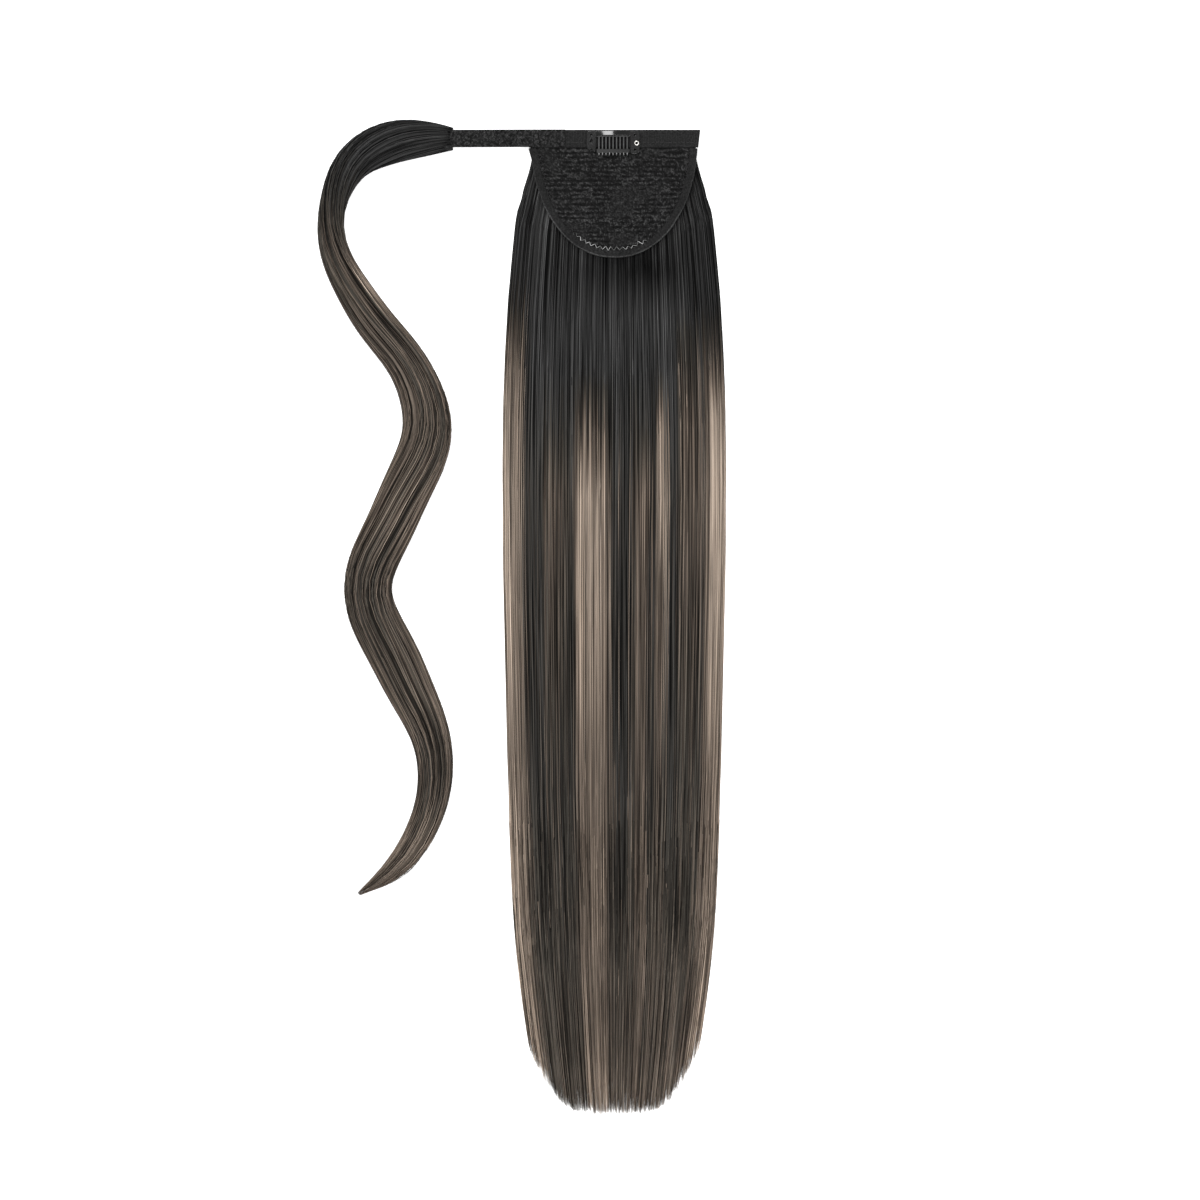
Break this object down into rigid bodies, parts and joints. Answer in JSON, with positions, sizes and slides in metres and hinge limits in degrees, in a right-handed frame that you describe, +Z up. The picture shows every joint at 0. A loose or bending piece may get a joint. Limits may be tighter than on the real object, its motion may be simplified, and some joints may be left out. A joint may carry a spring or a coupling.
{
  "type": "wrap-around ponytail hair extension",
  "caption": "Long straight hair tress sewn to a D-shaped knitted pad, with a ribbon band, a snap comb clip and a hook-and-loop strap that carries a free wavy lock for wrapping.",
  "frame": {"origin": "on the surface it lies on, under the middle of the whole hairpiece's box", "axes": "+Y from the hair's ends towards the band, +X across the hair away from the strap, +Z up out of the pad's inner face"},
  "size_m": [0.237, 0.5752, 0.0146],
  "materials": {
    "hair": "smooth fibre, dark root melting into ash highlights",
    "knit": "matt ribbed knit",
    "binding": "folded and stitched",
    "ribbon": "woven, low sheen",
    "hook_tape": "matt pile",
    "enamel": "gloss black",
    "nickel": "polished"
  },
  "bodies": {
    "hairpiece": {"ponytail_hair": "hair", "wrap_lock_hair": "hair", "backing_pad": "knit", "pad_hem": "binding", "top_band": "ribbon", "wrap_strap": "hook_tape", "clip_frame": "enamel", "clip_rivet": "nickel"},
    "comb": {"clip_comb": "enamel"}
  },
  "joints": [
    {"name": "clip_snap", "type": "hinge", "parent": "hairpiece", "child": "comb", "pos_m": [0.05281, 0.27831, 0.01034], "axis": [-1, 0, 0], "range_deg": [0, 40]}
  ]
}
